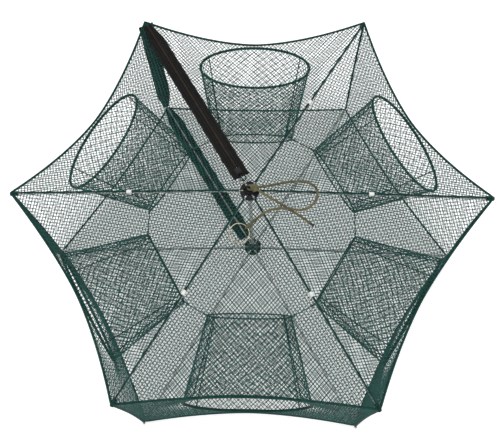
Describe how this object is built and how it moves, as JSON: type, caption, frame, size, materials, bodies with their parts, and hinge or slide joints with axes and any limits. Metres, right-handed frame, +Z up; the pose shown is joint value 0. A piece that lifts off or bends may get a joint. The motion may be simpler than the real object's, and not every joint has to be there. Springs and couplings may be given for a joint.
{
  "type": "folding crab trap",
  "caption": "Folding hexagonal net trap with an umbrella frame, funnel entrances round the sides, a zip door and a pull cord at the top hub.",
  "frame": {"origin": "centre of the footprint, on the ground that the open trap stands on", "axes": "+Z up along the centre post, +X out along top rib 1; ribs follow every 60 degrees, seen from above anticlockwise"},
  "size_m": [0.8002, 0.6944, 0.3126],
  "materials": {
    "netting": "knotted green polyethylene netting",
    "binding": "dark green woven binding",
    "string": "dark green twine",
    "steel": "bright drawn wire",
    "black_plastic": "moulded black",
    "white_plastic": "moulded white",
    "zip_tape": "black woven tape",
    "zip_metal": "black enamel",
    "cord": "olive braided cord",
    "ring_metal": "polished split ring"
  },
  "bodies": {
    "frame": {"centre_post": "steel", "top_hub": "black_plastic", "bottom_hub": "black_plastic", "hub_cap": "black_plastic", "hinge_pins": "steel", "top_net": "netting", "bottom_net": "netting", "wall_net_1": "netting", "wall_net_2": "netting", "wall_net_3": "netting", "wall_net_4": "netting", "wall_net_5": "netting", "wall_net_6": "netting", "funnel_ties": "string", "pull_cord": "cord", "cord_knots": "cord", "cord_ring": "ring_metal"},
    "top_rib_1": {"top_rib_1": "steel", "rib_tip_1": "black_plastic", "rib_clip_1": "white_plastic"},
    "bottom_rib_1": {"bottom_rib_1": "steel"},
    "corner_1": {"corner_binding_1": "binding"},
    "hoop_1": {"hoop_1": "steel"},
    "top_rib_2": {"top_rib_2": "steel", "rib_tip_2": "black_plastic", "rib_clip_2": "white_plastic"},
    "bottom_rib_2": {"bottom_rib_2": "steel"},
    "corner_2": {"corner_binding_2": "binding"},
    "hoop_2": {"hoop_2": "steel"},
    "top_rib_3": {"top_rib_3": "steel", "rib_tip_3": "black_plastic", "rib_clip_3": "white_plastic", "zip_tape_top": "zip_tape", "zip_coil": "zip_tape"},
    "bottom_rib_3": {"bottom_rib_3": "steel", "zip_tape_bottom": "zip_tape"},
    "corner_3": {"zip_tape_side": "zip_tape"},
    "hoop_3": {"hoop_3": "steel"},
    "top_rib_4": {"top_rib_4": "steel", "rib_tip_4": "black_plastic", "rib_clip_4": "white_plastic"},
    "bottom_rib_4": {"bottom_rib_4": "steel"},
    "corner_4": {"corner_binding_4": "binding"},
    "hoop_4": {"hoop_4": "steel"},
    "top_rib_5": {"top_rib_5": "steel", "rib_tip_5": "black_plastic", "rib_clip_5": "white_plastic"},
    "bottom_rib_5": {"bottom_rib_5": "steel"},
    "corner_5": {"corner_binding_5": "binding"},
    "hoop_5": {"hoop_5": "steel"},
    "top_rib_6": {"top_rib_6": "steel", "rib_tip_6": "black_plastic", "rib_clip_6": "white_plastic"},
    "bottom_rib_6": {"bottom_rib_6": "steel"},
    "corner_6": {"corner_binding_6": "binding"},
    "hoop_6": {"hoop_6": "steel"},
    "zip_slider": {"zip_slider": "zip_metal"},
    "zip_pull": {"zip_pull": "zip_metal"}
  },
  "joints": [
    {"name": "top_rib_1_fold", "type": "hinge", "parent": "frame", "child": "top_rib_1", "pos_m": [0.012, 0, 0.292], "axis": [0, 1, 0], "range_deg": [0, 80], "deforming": ["top_net", "bottom_net", "wall_net_1", "wall_net_2", "wall_net_3", "wall_net_4", "wall_net_5", "wall_net_6", "funnel_ties"]},
    {"name": "top_rib_2_fold", "type": "hinge", "parent": "frame", "child": "top_rib_2", "pos_m": [0.006, 0.01039, 0.292], "axis": [-0.866, 0.5, 0], "range_deg": [0, 80]},
    {"name": "top_rib_3_fold", "type": "hinge", "parent": "frame", "child": "top_rib_3", "pos_m": [-0.006, 0.01039, 0.292], "axis": [-0.866, -0.5, 0], "range_deg": [0, 80]},
    {"name": "top_rib_4_fold", "type": "hinge", "parent": "frame", "child": "top_rib_4", "pos_m": [-0.012, 0, 0.292], "axis": [0, -1, 0], "range_deg": [0, 80]},
    {"name": "top_rib_5_fold", "type": "hinge", "parent": "frame", "child": "top_rib_5", "pos_m": [-0.006, -0.01039, 0.292], "axis": [0.866, -0.5, 0], "range_deg": [0, 80]},
    {"name": "top_rib_6_fold", "type": "hinge", "parent": "frame", "child": "top_rib_6", "pos_m": [0.006, -0.01039, 0.292], "axis": [0.866, 0.5, 0], "range_deg": [0, 80]},
    {"name": "bottom_rib_1_fold", "type": "hinge", "parent": "frame", "child": "bottom_rib_1", "pos_m": [0.012, 0, 0.036], "axis": [0, 1, 0], "range_deg": [0, 80]},
    {"name": "bottom_rib_2_fold", "type": "hinge", "parent": "frame", "child": "bottom_rib_2", "pos_m": [0.006, 0.01039, 0.036], "axis": [-0.866, 0.5, 0], "range_deg": [0, 80]},
    {"name": "bottom_rib_3_fold", "type": "hinge", "parent": "frame", "child": "bottom_rib_3", "pos_m": [-0.006, 0.01039, 0.036], "axis": [-0.866, -0.5, 0], "range_deg": [0, 80]},
    {"name": "bottom_rib_4_fold", "type": "hinge", "parent": "frame", "child": "bottom_rib_4", "pos_m": [-0.012, 0, 0.036], "axis": [0, -1, 0], "range_deg": [0, 80]},
    {"name": "bottom_rib_5_fold", "type": "hinge", "parent": "frame", "child": "bottom_rib_5", "pos_m": [-0.006, -0.01039, 0.036], "axis": [0.866, -0.5, 0], "range_deg": [0, 80]},
    {"name": "bottom_rib_6_fold", "type": "hinge", "parent": "frame", "child": "bottom_rib_6", "pos_m": [0.006, -0.01039, 0.036], "axis": [0.866, 0.5, 0], "range_deg": [0, 80]},
    {"name": "corner_1_swing", "type": "hinge", "parent": "top_rib_1", "child": "corner_1", "pos_m": [0.4, 0, 0.271], "axis": [0, 1, 0], "range_deg": [-80, 0], "deforming": ["corner_binding_1"]},
    {"name": "corner_2_swing", "type": "hinge", "parent": "top_rib_2", "child": "corner_2", "pos_m": [0.2, 0.34641, 0.271], "axis": [-0.866, 0.5, 0], "range_deg": [-80, 0], "deforming": ["corner_binding_2"]},
    {"name": "corner_3_swing", "type": "hinge", "parent": "top_rib_3", "child": "corner_3", "pos_m": [-0.2, 0.34641, 0.271], "axis": [-0.866, -0.5, 0], "range_deg": [-80, 0], "deforming": ["zip_tape_side"]},
    {"name": "corner_4_swing", "type": "hinge", "parent": "top_rib_4", "child": "corner_4", "pos_m": [-0.4, 0, 0.271], "axis": [0, -1, 0], "range_deg": [-80, 0], "deforming": ["corner_binding_4"]},
    {"name": "corner_5_swing", "type": "hinge", "parent": "top_rib_5", "child": "corner_5", "pos_m": [-0.2, -0.34641, 0.271], "axis": [0.866, -0.5, 0], "range_deg": [-80, 0], "deforming": ["corner_binding_5"]},
    {"name": "corner_6_swing", "type": "hinge", "parent": "top_rib_6", "child": "corner_6", "pos_m": [0.2, -0.34641, 0.271], "axis": [0.866, 0.5, 0], "range_deg": [-80, 0], "deforming": ["corner_binding_6"]},
    {"name": "hoop_1_slide", "type": "slide", "parent": "frame", "child": "hoop_1", "axis": [-0.4921, -0.2841, -0.8228], "range_m": [0, 0.4402], "deforming": ["hoop_1"]},
    {"name": "hoop_2_slide", "type": "slide", "parent": "frame", "child": "hoop_2", "axis": [0, -0.5683, -0.8228], "range_m": [0, 0.4402], "deforming": ["hoop_2"]},
    {"name": "hoop_3_slide", "type": "slide", "parent": "frame", "child": "hoop_3", "axis": [0.4921, -0.2841, -0.8228], "range_m": [0, 0.4402], "deforming": ["hoop_3"]},
    {"name": "hoop_4_slide", "type": "slide", "parent": "frame", "child": "hoop_4", "axis": [0.4921, 0.2841, -0.8228], "range_m": [0, 0.4402], "deforming": ["hoop_4"]},
    {"name": "hoop_5_slide", "type": "slide", "parent": "frame", "child": "hoop_5", "axis": [0, 0.5683, -0.8228], "range_m": [0, 0.4402], "deforming": ["hoop_5"]},
    {"name": "hoop_6_slide", "type": "slide", "parent": "frame", "child": "hoop_6", "axis": [-0.4921, 0.2841, -0.8228], "range_m": [0, 0.4402], "deforming": ["hoop_6"]},
    {"name": "zip_slide", "type": "slide", "parent": "top_rib_3", "child": "zip_slider", "axis": [-0.4994, 0.865, -0.049], "range_m": [0, 0.335], "deforming": ["zip_coil"]},
    {"name": "zip_pull_hinge", "type": "hinge", "parent": "zip_slider", "child": "zip_pull", "pos_m": [-0.01691, 0.02929, 0.3003], "axis": [-0.866, -0.5, 0], "range_deg": [0, 150]}
  ],
  "couplings": [
    {"joint": "top_rib_2_fold", "follows": "top_rib_1_fold", "ratio": 1},
    {"joint": "top_rib_3_fold", "follows": "top_rib_1_fold", "ratio": 1},
    {"joint": "top_rib_4_fold", "follows": "top_rib_1_fold", "ratio": 1},
    {"joint": "top_rib_5_fold", "follows": "top_rib_1_fold", "ratio": 1},
    {"joint": "top_rib_6_fold", "follows": "top_rib_1_fold", "ratio": 1},
    {"joint": "bottom_rib_1_fold", "follows": "top_rib_1_fold", "ratio": 1},
    {"joint": "bottom_rib_2_fold", "follows": "top_rib_1_fold", "ratio": 1},
    {"joint": "bottom_rib_3_fold", "follows": "top_rib_1_fold", "ratio": 1},
    {"joint": "bottom_rib_4_fold", "follows": "top_rib_1_fold", "ratio": 1},
    {"joint": "bottom_rib_5_fold", "follows": "top_rib_1_fold", "ratio": 1},
    {"joint": "bottom_rib_6_fold", "follows": "top_rib_1_fold", "ratio": 1},
    {"joint": "corner_1_swing", "follows": "top_rib_1_fold", "ratio": -1},
    {"joint": "corner_2_swing", "follows": "top_rib_1_fold", "ratio": -1},
    {"joint": "corner_3_swing", "follows": "top_rib_1_fold", "ratio": -1},
    {"joint": "corner_4_swing", "follows": "top_rib_1_fold", "ratio": -1},
    {"joint": "corner_5_swing", "follows": "top_rib_1_fold", "ratio": -1},
    {"joint": "corner_6_swing", "follows": "top_rib_1_fold", "ratio": -1},
    {"joint": "hoop_1_slide", "follows": "top_rib_1_fold", "m_per_rad": 0.31505},
    {"joint": "hoop_2_slide", "follows": "top_rib_1_fold", "m_per_rad": 0.31505},
    {"joint": "hoop_3_slide", "follows": "top_rib_1_fold", "m_per_rad": 0.31505},
    {"joint": "hoop_4_slide", "follows": "top_rib_1_fold", "m_per_rad": 0.31505},
    {"joint": "hoop_5_slide", "follows": "top_rib_1_fold", "m_per_rad": 0.31505},
    {"joint": "hoop_6_slide", "follows": "top_rib_1_fold", "m_per_rad": 0.31505}
  ]
}
